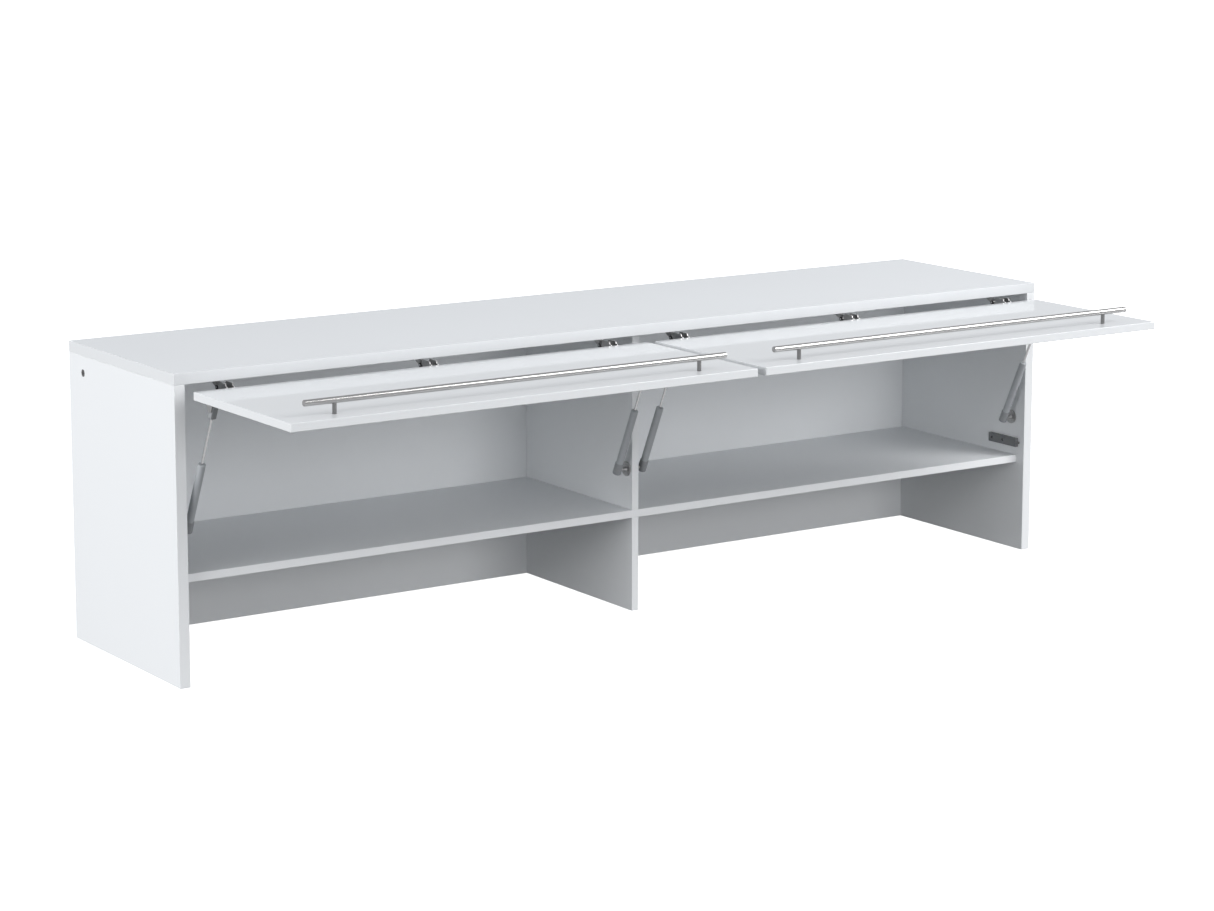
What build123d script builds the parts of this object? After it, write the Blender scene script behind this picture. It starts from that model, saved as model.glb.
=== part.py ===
from build123d import *
import os
from math import atan2, cos, degrees, hypot, radians, sin

# Wall cabinet for the space over a folding bed: a shelved carcass with two lift-up flaps,
# each on three hinges and two gas struts. Millimetres, +X right, front towards -Y, +Z up.
# The origin is the middle of the footprint, on the bottom edges. The flaps are modelled open.

# Carcass
WIDTH = 2100.0
DEPTH = 460.0
HEIGHT = 600.0
BODY_BOARD = 22.0  # top and side panels
INNER_BOARD = 16.0  # shelf, dividers, back panel and flaps
FRONT_SETBACK = 24.0  # shelf and dividers stand back from the side panels' front edges
HANGING_SPACE = 18.0  # free depth behind the back panel
SHELF_BOTTOM = 196.0
EDGE_RADIUS = 0.8

FRONT = -DEPTH / 2
REAR = DEPTH / 2
SIDE_IN = WIDTH / 2 - BODY_BOARD
SIDE_MID = WIDTH / 2 - BODY_BOARD / 2
TOP_UNDER = HEIGHT - BODY_BOARD
SHELF_TOP = SHELF_BOTTOM + INNER_BOARD
SHELF_MID = SHELF_BOTTOM + INNER_BOARD / 2
INNER_FRONT = FRONT + FRONT_SETBACK
BACK_REAR = REAR - HANGING_SPACE
BACK_FRONT = BACK_REAR - INNER_BOARD
DIVIDER_HALF = INNER_BOARD / 2

# Flaps: inset below the top and between the sides, flush with the front edges when shut
FLAP_HEIGHT = 375.0
FLAP_SIDE_GAP = 2.0
FLAP_TOP_GAP = 2.0
FLAP_MIDDLE_GAP = 19.0
FLAP_EDGE_RADIUS = 1.0
OPEN_REACH = 31.0  # open, the hinge edge stands this far in front of the carcass
OPEN_OUTER_Z = 569.0  # open, the outer face is level at this height
SHUT_TOP = TOP_UNDER - FLAP_TOP_GAP
OPEN_INNER_Z = OPEN_OUTER_Z - INNER_BOARD
OPEN_EDGE = FRONT - OPEN_REACH

# A quarter turn about this line carries the flap from open to shut
PIVOT_Y = FRONT + (OPEN_OUTER_Z - SHUT_TOP - OPEN_REACH) / 2
PIVOT_Z = OPEN_OUTER_Z - (PIVOT_Y - FRONT)
FLAP_TURN = 90.0

# Handles
BAR_LENGTH = 920.0
BAR_RADIUS = 6.0
BAR_STANDOFF = 25.0
POST_RADIUS = 4.0
POST_SPACING = 796.0
BAR_INSET = 334.0  # from the hinge edge
POST_INTO_BAR = 3.0

# Hinges, each in layers from its middle plane outwards
HINGE_OFFSETS = (-430.0, 11.0, 430.0)  # from the flap's middle
LUG_HALF = 3.8
LINK_IN = 4.1
LINK_OUT = 6.1
CARRIAGE_IN = 6.5
CARRIAGE_OUT = 8.5
EAR_IN = 8.9
EAR_OUT = 10.9
PIN_RADIUS = 2.0
PIN_PLAY = 0.05
CUP_RADIUS = 17.5
CUP_DEPTH = 12.5
CUP_WALL = 1.0
CUP_FROM_EDGE = 21.0
FLANGE = 1.2
PLATE = 2.0
BASE_PIVOT = (FRONT + 18.5, 563.0)
CUP_PIVOT_FROM_EDGE = 25.0
CUP_PIVOT_DEPTH = 11.5

# Gas struts
STRUT_SIDE_OFFSET = 23.0  # strut axis from the panel's face
STRUT_FOOT = (FRONT + 43.0, 296.0)
STRUT_HEAD_FROM_EDGE = 40.0
STRUT_HEAD_DEPTH = 28.0
TUBE_RADIUS = 7.5
TUBE_BORE = 6.2
TUBE_FROM = 9.0
TUBE_TO = 146.0
ROD_RADIUS = 2.5
ROD_ENGAGED = 55.0
BALL_RADIUS = 4.0
FIT_PLAY = 0.06
OPEN_PIVOT_GAP = 0.3

# Dampers
DAMPER = (8.0, 92.0, 20.0)
DAMPER_FRONT = FRONT + 18.5
DAMPER_Z = 241.0
PISTON_RADIUS = 2.6
PISTON_TIP = FRONT + 12.4
PISTON_TRAVEL = 3.9
PISTON_LENGTH = 30.0

# Fittings inside the joints
CAM_RADIUS = 7.5
CAM_FROM_EDGE = 34.0
BOLT_RADIUS = 3.0
THREAD_RADIUS = 2.5
THREAD_DEPTH = 11.0
DOWEL_RADIUS = 4.0

CENTRED = (Align.CENTER, Align.CENTER, Align.CENTER)
SUNK = (Align.CENTER, Align.CENTER, Align.MAX)
STANDING = (Align.CENTER, Align.CENTER, Align.MIN)
SIDES = (("left", -1), ("right", 1))

os.makedirs("parts", exist_ok=True)


def save(builder, label):
    """Label a finished piece and write it as parts/<label>.step."""
    builder.part.label = label
    export_step(builder.part, f"parts/{label}.step")


def facing(point, outward, along=None):
    """A plane at point whose +Z is outward, and whose +X is along where that matters."""
    if along is None:
        return Plane(origin=point, z_dir=outward)
    return Plane(origin=point, x_dir=along, z_dir=outward)


def middle(low, high):
    return tuple((a + b) / 2 for a, b in zip(low, high))


def block(low, high, mode=Mode.ADD):
    """A box between two corners, in the open builder."""
    with Locations(middle(low, high)):
        Box(high[0] - low[0], high[1] - low[1], high[2] - low[2], mode=mode)


def board(label, low, high, bores, radius=EDGE_RADIUS):
    """A board with eased edges; each bore is an outward plane, a radius and a depth."""
    with BuildPart() as panel:
        block(low, high)
        fillet(panel.edges(), radius)
        for plane, bore_radius, depth in bores:
            with Locations(plane):
                Cylinder(bore_radius, depth, align=SUNK, mode=Mode.SUBTRACT)
    save(panel, label)


def group(label, solid, planes):
    """One node of equal pieces, one standing on each plane."""
    with BuildPart() as pieces:
        for plane in planes:
            with Locations(plane):
                add(solid)
    save(pieces, label)


def screw(head_radius, head_height, shank_radius, length):
    """A pan-head screw standing on its seat, with a cross recess and a pointed end."""
    tip = 2 * shank_radius
    with BuildPart() as piece:
        Cylinder(head_radius, head_height, align=STANDING)
        fillet(piece.edges().sort_by(Axis.Z)[-1], head_height * 0.45)
        Cylinder(shank_radius, length - tip, align=SUNK)
        with Locations((0, 0, -(length - tip))):
            Cone(shank_radius * 0.2, shank_radius, tip, align=SUNK)
        for turn in (0, 90):
            with Locations(Location((0, 0, head_height), (0, 0, turn))):
                Box(head_radius * 1.1, head_radius * 0.22, head_height, mode=Mode.SUBTRACT)
    return piece.part


def yz_round(centre, radius):
    """A circle in an open sketch on a YZ plane."""
    with Locations(centre):
        Circle(radius)


# ---------------------------------------------------------------- joints between the boards
# A cam joint: the disc's face plane (its +X towards the joint), the joint plane's centre, and
# the direction from the disc to the joint. The bolt threads into the other board.
def cam_joint(disc_point, disc_out, towards, axis_depth):
    disc = facing(disc_point, disc_out, towards)
    inward = Vector(*disc_out) * -axis_depth
    joint_point = Vector(*disc_point) + inward + Vector(*towards) * CAM_FROM_EDGE
    return {"disc": disc, "joint": joint_point, "towards": Vector(*towards), "depth": axis_depth}


def cam_board_bores(joint):
    """Bores in the board that holds the disc."""
    disc_depth = DISC_DEPTH[joint["depth"]]
    edge = facing(joint["joint"], joint["towards"])
    return [(joint["disc"], CAM_RADIUS, disc_depth), (edge, BOLT_RADIUS + 0.5, CAM_FROM_EDGE - 6)]


def bolt_board_bore(joint):
    """The bore that takes the bolt's thread, in the other board."""
    return facing(joint["joint"], joint["towards"] * -1), THREAD_RADIUS, THREAD_DEPTH


DISC_DEPTH = {BODY_BOARD / 2: 15.5, INNER_BOARD / 2: 12.5}
top_cams = {}
shelf_cams = {}
for name, sign in SIDES:
    inner = [((sign * SIDE_IN, y, TOP_UNDER - CAM_FROM_EDGE), (-sign, 0, 0)) for y in (FRONT + 60, 0)]
    outer = [((sign * WIDTH / 2, REAR - 64, TOP_UNDER - CAM_FROM_EDGE), (sign, 0, 0))]
    top_cams[name] = [cam_joint(point, out, (0, 0, 1), BODY_BOARD / 2) for point, out in inner + outer]
    shelf_cams[name] = [
        cam_joint((sign * (SIDE_IN - CAM_FROM_EDGE), y, SHELF_BOTTOM), (0, 0, -1), (sign, 0, 0),
                  INNER_BOARD / 2)
        for y in (INNER_FRONT + 50, BACK_FRONT - 50)
    ]
divider_ys = (INNER_FRONT + 60, BACK_FRONT - 60)
upper_divider_cams = [
    cam_joint((DIVIDER_HALF, y, TOP_UNDER - CAM_FROM_EDGE), (1, 0, 0), (0, 0, 1), INNER_BOARD / 2)
    for y in divider_ys
]
lower_divider_cams = [
    cam_joint((DIVIDER_HALF, y, SHELF_BOTTOM - CAM_FROM_EDGE), (1, 0, 0), (0, 0, 1), INNER_BOARD / 2)
    for y in divider_ys
]
all_cams = top_cams["left"] + top_cams["right"] + shelf_cams["left"] + shelf_cams["right"]
all_cams += upper_divider_cams + lower_divider_cams

# Dowels: joint plane, then how far each goes into the board behind and the board in front
top_dowels = {}
shelf_dowels = {}
for name, sign in SIDES:
    top_dowels[name] = [(sign * SIDE_MID, y, TOP_UNDER) for y in (FRONT + 120, REAR - 120)]
    shelf_dowels[name] = [(sign * SIDE_IN, y, SHELF_MID) for y in (INNER_FRONT + 150, BACK_FRONT - 150)]
divider_dowels = [(0, y, SHELF_BOTTOM) for y in (INNER_FRONT + 120, BACK_FRONT - 120)]
DOWEL_HALF = 15.0
DOWEL_IN_SIDE = 12.0
DOWEL_IN_DIVIDER = 20.0
DIVIDER_DOWEL = INNER_BOARD + 2 * DOWEL_IN_DIVIDER

# Screws through the back panel, into the shelf and the dividers
BACK_SCREW_HEAD = (4.0, 2.4)  # every head is a radius and a height
BACK_SCREW_RADIUS = 2.0
BACK_SCREW_LENGTH = 45.0
back_screws = [(x, BACK_REAR, SHELF_MID) for x in (-840, -420, 420, 840)]
back_screws += [(0, BACK_REAR, z) for z in (90, 330, 500)]
HANGER = (60.0, 2.5, 70.0)
HANGER_X = 950.0
HANGER_Z = 525.0
HANGER_KEYHOLE = (7.0, -8.0)  # its round end's radius and height from the plate's middle
HANGER_SLOT = (8.0, 24.0, 4.0)  # the slot's width, its length and its middle's height
HANGER_SCREW_HEAD = (3.2, 1.8)
HANGER_SCREW_RADIUS = 1.5
HANGER_SCREW_LENGTH = 14.0
HANGER_SCREW_SPOTS = [(dx, dz) for dx in (-22, 22) for dz in (-27, 27)]
hanger_screws = [(s * HANGER_X + dx, BACK_REAR + HANGER[1], HANGER_Z + dz)
                 for s in (-1, 1) for dx, dz in HANGER_SCREW_SPOTS]

# Bottom fixing holes in the side panels' lower edges
FOOT_RADIUS = 4.0
FOOT_DEPTH = 30.0
FOOT_Y = 160.0

# ---------------------------------------------------------------- places of the moving fittings
hinges = {}
struts = {}
flap_span = {}
for name, sign in SIDES:
    ends = sorted((sign * (SIDE_IN - FLAP_SIDE_GAP), sign * FLAP_MIDDLE_GAP / 2))
    flap_span[name] = ends
    centre = sum(ends) / 2
    hinges[name] = [centre + offset for offset in HINGE_OFFSETS]
    # each strut: its axis in X, and the direction from its panel towards it
    struts[name] = {
        "outer": (sign * (SIDE_IN - STRUT_SIDE_OFFSET), -sign),
        "inner": (sign * (DIVIDER_HALF + STRUT_SIDE_OFFSET), sign),
    }


def flap_point(from_edge, depth):
    """(y, z) of a point in the open flap, from its hinge edge and its outer face."""
    return OPEN_EDGE - from_edge, OPEN_OUTER_Z - depth


def turned(point, angle):
    """(y, z) after turning about the flap's pivot line by angle degrees."""
    dy, dz = point[0] - PIVOT_Y, point[1] - PIVOT_Z
    c, s = cos(radians(angle)), sin(radians(angle))
    return PIVOT_Y + dy * c - dz * s, PIVOT_Z + dy * s + dz * c


# The hinge train is a parallelogram: base pivot, link pivot, cup pivot and the flap's pivot line
CUP_PIVOT = flap_point(CUP_PIVOT_FROM_EDGE, CUP_PIVOT_DEPTH)
LINK_PIVOT = (BASE_PIVOT[0] + CUP_PIVOT[0] - PIVOT_Y, BASE_PIVOT[1] + CUP_PIVOT[1] - PIVOT_Z)
STRUT_HEAD = flap_point(STRUT_HEAD_FROM_EDGE, STRUT_HEAD_DEPTH)

SHUT_HEAD = turned(STRUT_HEAD, FLAP_TURN)


def span_and_angle(start, end):
    return hypot(end[0] - start[0], end[1] - start[1]), degrees(atan2(end[1] - start[1], end[0] - start[0]))


OPEN_LENGTH, OPEN_ANGLE = span_and_angle(STRUT_HEAD, STRUT_FOOT)
SHUT_LENGTH, SHUT_ANGLE = span_and_angle(SHUT_HEAD, STRUT_FOOT)
print("flap pivot", PIVOT_Y, PIVOT_Z, "base", BASE_PIVOT, "link", LINK_PIVOT, "cup", CUP_PIVOT)
print("strut head", STRUT_HEAD, "foot", STRUT_FOOT, "open", OPEN_LENGTH, OPEN_ANGLE)
print("strut shut", SHUT_LENGTH, SHUT_ANGLE, "stroke", OPEN_LENGTH - SHUT_LENGTH)

STUD_RADIUS = 3.0
STUD_PLATE_RADIUS = 15.0
STUD_PLATE_THICK = 3.0
STUD_COLLAR = (5.5, 5.0)  # the radius and height of the cone at the stud's root
STUD_SCREW_CIRCLE = 10.0
stud_screw_spots = [(STUD_SCREW_CIRCLE * cos(radians(a)), STUD_SCREW_CIRCLE * sin(radians(a)))
                    for a in (90, 210, 330)]
FOOT_SCREW_HEAD = (2.9, 1.6)
FOOT_SCREW_LENGTH = 10.0
FOOT_SCREW_RADIUS = 1.6


def foot_screw_planes(x_panel, out):
    return [facing((x_panel + out * STUD_PLATE_THICK, STRUT_FOOT[0] + dy, STRUT_FOOT[1] + dz), (out, 0, 0))
            for dy, dz in stud_screw_spots]


def foot_bores(x_panel, out):
    """Pilot bores for the strut foot's screws in one panel."""
    depth = FOOT_SCREW_LENGTH - STUD_PLATE_THICK
    return [(facing((x_panel, p.origin.Y, p.origin.Z), (out, 0, 0)), FOOT_SCREW_RADIUS, depth)
            for p in foot_screw_planes(x_panel, out)]


DAMPER_WELL_RADIUS = 3.2
DAMPER_SCREW_HEAD = (2.8, 1.5)
DAMPER_SCREW_RADIUS = 1.5
DAMPER_SCREW_LENGTH = 14.0
DAMPER_SEAT = 3.0  # the screws sit in wells, this far from the panel
damper_screw_ys = (DAMPER_FRONT + 45, DAMPER_FRONT + 80)


def damper_bores(sign):
    depth = DAMPER_SCREW_LENGTH - DAMPER_SEAT
    return [(facing((sign * SIDE_IN, y, DAMPER_Z), (-sign, 0, 0)), DAMPER_SCREW_RADIUS, depth)
            for y in damper_screw_ys]


HINGE_SCREW_Y = FRONT + 37.0
HINGE_SCREW_X = 16.0
HINGE_SCREW_HEAD = (3.5, 1.9)
HINGE_SCREW_RADIUS = 1.75
HINGE_SCREW_LENGTH = 15.0
plate_screws = [(x + s * HINGE_SCREW_X, HINGE_SCREW_Y, TOP_UNDER - PLATE)
                for xs in hinges.values() for x in xs for s in (-1, 1)]

# ---------------------------------------------------------------- carcass boards
top_bores = [bolt_board_bore(joint) for side in top_cams.values() for joint in side]
top_bores += [bolt_board_bore(joint) for joint in upper_divider_cams]
top_bores += [(facing(p, (0, 0, -1)), DOWEL_RADIUS, DOWEL_HALF) for side in top_dowels.values() for p in side]
top_bores += [(facing((x, y, TOP_UNDER), (0, 0, -1)), HINGE_SCREW_RADIUS, HINGE_SCREW_LENGTH - PLATE)
              for x, y, z in plate_screws]
board("top_panel", (-WIDTH / 2, FRONT, TOP_UNDER), (WIDTH / 2, REAR, HEIGHT), top_bores)

for name, sign in SIDES:
    bores = [bore for joint in top_cams[name] for bore in cam_board_bores(joint)]
    bores += [bolt_board_bore(joint) for joint in shelf_cams[name]]
    bores += [(facing(p, (0, 0, 1)), DOWEL_RADIUS, DOWEL_HALF) for p in top_dowels[name]]
    bores += [(facing(p, (-sign, 0, 0)), DOWEL_RADIUS, DOWEL_IN_SIDE) for p in shelf_dowels[name]]
    bores += [(facing((sign * SIDE_MID, y, 0), (0, 0, -1)), FOOT_RADIUS, FOOT_DEPTH)
              for y in (-FOOT_Y, FOOT_Y)]
    bores += foot_bores(sign * SIDE_IN, -sign) + damper_bores(sign)
    inner_x, outer_x = sorted((sign * SIDE_IN, sign * WIDTH / 2))
    board(f"{name}_side_panel", (inner_x, FRONT, 0), (outer_x, REAR, TOP_UNDER), bores)

shelf_bores = [bore for side in shelf_cams.values() for joint in side for bore in cam_board_bores(joint)]
shelf_bores += [bolt_board_bore(joint) for joint in lower_divider_cams]
shelf_bores += [(facing(p, (sign, 0, 0)), DOWEL_RADIUS, 2 * DOWEL_HALF - DOWEL_IN_SIDE)
                for name, sign in SIDES for p in shelf_dowels[name]]
shelf_bores += [(facing((0, y, SHELF_TOP), (0, 0, 1)), DOWEL_RADIUS, INNER_BOARD)
                for x, y, z in divider_dowels]
shelf_bores += [(facing((x, BACK_FRONT, z), (0, 1, 0)), BACK_SCREW_RADIUS, BACK_SCREW_LENGTH - INNER_BOARD)
                for x, y, z in back_screws if x]
board("shelf", (-SIDE_IN, INNER_FRONT, SHELF_BOTTOM), (SIDE_IN, BACK_FRONT, SHELF_TOP), shelf_bores)

divider_back = [(facing((x, BACK_FRONT, z), (0, 1, 0)), BACK_SCREW_RADIUS, BACK_SCREW_LENGTH - INNER_BOARD)
                for x, y, z in back_screws if not x]
upper_bores = [bore for joint in upper_divider_cams for bore in cam_board_bores(joint)]
upper_bores += [(facing((0, y, SHELF_TOP), (0, 0, -1)), DOWEL_RADIUS, DOWEL_IN_DIVIDER)
                for x, y, z in divider_dowels]
upper_bores += [bore for bore in divider_back if bore[0].origin.Z > SHELF_TOP]
for name, sign in SIDES:
    upper_bores += foot_bores(sign * DIVIDER_HALF, sign)
board("upper_divider", (-DIVIDER_HALF, INNER_FRONT, SHELF_TOP),
      (DIVIDER_HALF, BACK_FRONT, TOP_UNDER), upper_bores)

lower_bores = [bore for joint in lower_divider_cams for bore in cam_board_bores(joint)]
lower_bores += [(facing(p, (0, 0, 1)), DOWEL_RADIUS, DOWEL_IN_DIVIDER) for p in divider_dowels]
lower_bores += [bore for bore in divider_back if bore[0].origin.Z < SHELF_BOTTOM]
board("lower_divider", (-DIVIDER_HALF, INNER_FRONT, 0), (DIVIDER_HALF, BACK_FRONT, SHELF_BOTTOM), lower_bores)

back_bores = [(facing(p, (0, 1, 0)), BACK_SCREW_RADIUS, INNER_BOARD) for p in back_screws]
back_bores += [(facing((x, BACK_REAR, z), (0, 1, 0)), HANGER_SCREW_RADIUS, HANGER_SCREW_LENGTH - HANGER[1])
               for x, y, z in hanger_screws]
board("back_panel", (-SIDE_IN, BACK_FRONT, 0), (SIDE_IN, BACK_REAR, TOP_UNDER), back_bores)

# ---------------------------------------------------------------- joint fittings
BOLT_LENGTH = 29.0
BOLT_HEAD = (BOLT_RADIUS + 0.3, 2.5)
DISC_CROSS = (8.0, 1.4, 3.0)


def cam_disc(axis_depth):
    """An eccentric disc: face at the origin, +Z out of the board, bolt from +X."""
    with BuildPart() as disc:
        Cylinder(CAM_RADIUS, DISC_DEPTH[axis_depth], align=SUNK)
        with Locations(Plane(origin=(0, 0, -axis_depth), z_dir=(1, 0, 0))):
            Cylinder(BOLT_RADIUS + 0.6, CAM_RADIUS + 1, align=STANDING, mode=Mode.SUBTRACT)
        for turn in (0, 90):
            with Locations(Location((0, 0, 0), (0, 0, turn))):
                Box(*DISC_CROSS, mode=Mode.SUBTRACT)
    return disc.part


with BuildPart() as cam_bolt:
    Cylinder(THREAD_RADIUS, THREAD_DEPTH, align=SUNK)
    Cylinder(BOLT_RADIUS, BOLT_LENGTH, align=STANDING)
    with Locations((0, 0, BOLT_LENGTH)):
        Cylinder(*BOLT_HEAD, align=STANDING)

with BuildPart() as cam_discs:
    for depth in DISC_DEPTH:
        disc_solid = cam_disc(depth)
        for joint in all_cams:
            if joint["depth"] == depth:
                with Locations(joint["disc"]):
                    add(disc_solid)
save(cam_discs, "cam_discs")
group("cam_bolts", cam_bolt.part, [facing(joint["joint"], joint["towards"] * -1) for joint in all_cams])

with BuildPart() as dowels:
    for side in top_dowels.values():
        for point in side:
            with Locations(point):
                Cylinder(DOWEL_RADIUS, 2 * DOWEL_HALF, align=CENTRED)
    for name, sign in SIDES:
        for x, y, z in shelf_dowels[name]:
            with Locations(facing((x + sign * DOWEL_IN_SIDE, y, z), (sign, 0, 0))):
                Cylinder(DOWEL_RADIUS, 2 * DOWEL_HALF, align=SUNK)
    for x, y, z in divider_dowels:
        with Locations((x, y, SHELF_MID)):
            Cylinder(DOWEL_RADIUS, DIVIDER_DOWEL, align=CENTRED)
save(dowels, "dowels")

group("back_panel_screws", screw(*BACK_SCREW_HEAD, BACK_SCREW_RADIUS, BACK_SCREW_LENGTH),
      [facing(p, (0, 1, 0)) for p in back_screws])

with BuildPart() as hanger_plates:
    for sign in (-1, 1):
        x = sign * HANGER_X
        outer_y = BACK_REAR + HANGER[1]
        with Locations((x, outer_y - HANGER[1] / 2, HANGER_Z)):
            Box(*HANGER)
        with Locations(facing((x, outer_y, HANGER_Z + HANGER_KEYHOLE[1]), (0, 1, 0))):
            Cylinder(HANGER_KEYHOLE[0], HANGER[1], align=SUNK, mode=Mode.SUBTRACT)
        with Locations((x, outer_y - HANGER[1] / 2, HANGER_Z + HANGER_SLOT[2])):
            Box(HANGER_SLOT[0], HANGER[1], HANGER_SLOT[1], mode=Mode.SUBTRACT)
        for dx, dz in HANGER_SCREW_SPOTS:
            with Locations(facing((x + dx, outer_y, HANGER_Z + dz), (0, 1, 0))):
                Cylinder(HANGER_SCREW_RADIUS, HANGER[1], align=SUNK, mode=Mode.SUBTRACT)
save(hanger_plates, "hanger_plates")
group("hanger_screws", screw(*HANGER_SCREW_HEAD, HANGER_SCREW_RADIUS, HANGER_SCREW_LENGTH),
      [facing(p, (0, 1, 0)) for p in hanger_screws])

# ---------------------------------------------------------------- flaps and handles
BAR_CHAMFER = 0.6
HANDLE_SCREW_HEAD = (4.5, 2.2)
HANDLE_SCREW_RADIUS = 2.0
HANDLE_SCREW_LENGTH = INNER_BOARD + 12.0
CUP_SCREW_X = 22.5
CUP_SCREW_FROM_EDGE = CUP_FROM_EDGE + 9.5
CUP_SCREW_HEAD = (3.5, 1.9)
CUP_SCREW_RADIUS = 1.75
CUP_SCREW_LENGTH = 12.0
BRACKET_SCREW_HEAD = (3.2, 1.8)
BRACKET_SCREW_RADIUS = 1.75
BRACKET_SCREW_LENGTH = 12.0
BRACKET_SCREW_Y = 16.0  # each way from the strut's head
BRACKET_PLATE = (20.0, 44.0, 2.0)
bar_y = OPEN_EDGE - BAR_INSET
bar_z = OPEN_OUTER_Z + BAR_STANDOFF


def under_flap(x, y):
    """A plane on the open flap's inner face, looking down."""
    return facing((x, y, OPEN_INNER_Z), (0, 0, -1))


def cup_screw_points(name):
    return [(x + s * CUP_SCREW_X, OPEN_EDGE - CUP_SCREW_FROM_EDGE, OPEN_INNER_Z - FLANGE)
            for x in hinges[name] for s in (-1, 1)]


def bracket_screw_points(name):
    """Two screws for each strut bracket, beside its leg."""
    return [(x_strut - out * 2.0, STRUT_HEAD[0] + dy, OPEN_INNER_Z - BRACKET_PLATE[2])
            for x_strut, out in struts[name].values() for dy in (-BRACKET_SCREW_Y, BRACKET_SCREW_Y)]


for name, sign in SIDES:
    low_x, high_x = flap_span[name]
    post_xs = [(low_x + high_x) / 2 + s * POST_SPACING / 2 for s in (-1, 1)]
    bores = [(under_flap(x, OPEN_EDGE - CUP_FROM_EDGE), CUP_RADIUS, CUP_DEPTH) for x in hinges[name]]
    bores += [(under_flap(x, y), CUP_SCREW_RADIUS, CUP_SCREW_LENGTH - FLANGE)
              for x, y, z in cup_screw_points(name)]
    bores += [(under_flap(x, y), BRACKET_SCREW_RADIUS, BRACKET_SCREW_LENGTH - BRACKET_PLATE[2])
              for x, y, z in bracket_screw_points(name)]
    bores += [(under_flap(x, bar_y), HANDLE_SCREW_RADIUS, INNER_BOARD) for x in post_xs]
    board(f"{name}_flap", (low_x, OPEN_EDGE - FLAP_HEIGHT, OPEN_INNER_Z),
          (high_x, OPEN_EDGE, OPEN_OUTER_Z), bores, FLAP_EDGE_RADIUS)

    post_top = bar_z - BAR_RADIUS + POST_INTO_BAR
    screw_depth = HANDLE_SCREW_LENGTH - INNER_BOARD
    with BuildPart() as handle_bar:
        with Locations(facing((sum(post_xs) / 2, bar_y, bar_z), (1, 0, 0))):
            Cylinder(BAR_RADIUS, BAR_LENGTH)
        chamfer(handle_bar.edges().filter_by(GeomType.CIRCLE), BAR_CHAMFER)
        for x in post_xs:
            with Locations((x, bar_y, post_top)):
                Cylinder(POST_RADIUS, 2 * BAR_RADIUS, align=SUNK, mode=Mode.SUBTRACT)
    save(handle_bar, f"{name}_handle_bar")

    with BuildPart() as handle_posts:
        for x in post_xs:
            with Locations((x, bar_y, OPEN_OUTER_Z)):
                Cylinder(POST_RADIUS, post_top - OPEN_OUTER_Z, align=STANDING)
                Cylinder(HANDLE_SCREW_RADIUS, screw_depth, align=STANDING, mode=Mode.SUBTRACT)
    save(handle_posts, f"{name}_handle_posts")
    group(f"{name}_handle_screws", screw(*HANDLE_SCREW_HEAD, HANDLE_SCREW_RADIUS, HANDLE_SCREW_LENGTH),
          [under_flap(x, bar_y) for x in post_xs])

# ---------------------------------------------------------------- hinges
HINGE_PLATE_Y = (FRONT + 20.0, FRONT + 62.0)
HINGE_PLATE_HALF = 22.0
LUG_FRONT = FRONT + 21.0
LUG_REAR = FRONT + 44.0
LUG_HEAD = 4.0
LUG_TOP = TOP_UNDER - PLATE / 2
all_hinges = hinges["left"] + hinges["right"]

with BuildPart() as hinge_bases:
    for x in all_hinges:
        block((x - HINGE_PLATE_HALF, HINGE_PLATE_Y[0], TOP_UNDER - PLATE),
              (x + HINGE_PLATE_HALF, HINGE_PLATE_Y[1], TOP_UNDER))
        with BuildSketch(Plane.YZ.offset(x - LUG_HALF)):
            with BuildLine():
                Polyline(
                    (BASE_PIVOT[0] - 3.9, BASE_PIVOT[1] + 1.0),
                    (LUG_FRONT, TOP_UNDER - 7.0),
                    (LUG_FRONT, LUG_TOP),
                    (LUG_REAR, LUG_TOP),
                    (LUG_REAR, TOP_UNDER - 6.0),
                    (BASE_PIVOT[0] + 2.0, BASE_PIVOT[1] - 3.4),
                    close=True,
                )
            make_face()
            yz_round(BASE_PIVOT, LUG_HEAD)
        extrude(amount=2 * LUG_HALF)
        with Locations(facing((x, BASE_PIVOT[0], BASE_PIVOT[1]), (1, 0, 0))):
            Cylinder(PIN_RADIUS, 3 * LUG_HALF, mode=Mode.SUBTRACT)
    for point in plate_screws:
        with Locations(facing(point, (0, 0, -1))):
            Cylinder(HINGE_SCREW_RADIUS, PLATE, align=SUNK, mode=Mode.SUBTRACT)
save(hinge_bases, "hinge_mounting_plates")
group("hinge_plate_screws", screw(*HINGE_SCREW_HEAD, HINGE_SCREW_RADIUS, HINGE_SCREW_LENGTH),
      [facing(point, (0, 0, -1)) for point in plate_screws])

with BuildPart() as base_pins:
    for x in all_hinges:
        with Locations(facing((x, BASE_PIVOT[0], BASE_PIVOT[1]), (1, 0, 0))):
            Cylinder(PIN_RADIUS, 2 * (LINK_OUT + 0.1))
save(base_pins, "hinge_base_pins")

LINK_WIDTH = 8.0
LINK_FORK_RADIUS = 12.0
BAR_WIDTH = 6.4  # of the carriage's two bars and of the cup's ears
BAR_HEAD = 5.0


def bar_plane(start, end):
    """The middle, length and slope of a flat bar from one pivot to another, as (y, z) points."""
    length, angle = span_and_angle(start, end)
    return Location(((start[0] + end[0]) / 2, (start[1] + end[1]) / 2, 0), (0, 0, angle)), length


link_place, LINK_LENGTH = bar_plane(BASE_PIVOT, LINK_PIVOT)
carriage_place, CARRIAGE_LENGTH = bar_plane(CUP_PIVOT, LINK_PIVOT)
WEB_LENGTH = 16.0
WEB_CENTRE = -1.5
WEB_DROP = 3.2  # down to the middle of the strip that carries the web
WEB_WIDTH = 6.6
WEB_THICK = 1.5
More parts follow.
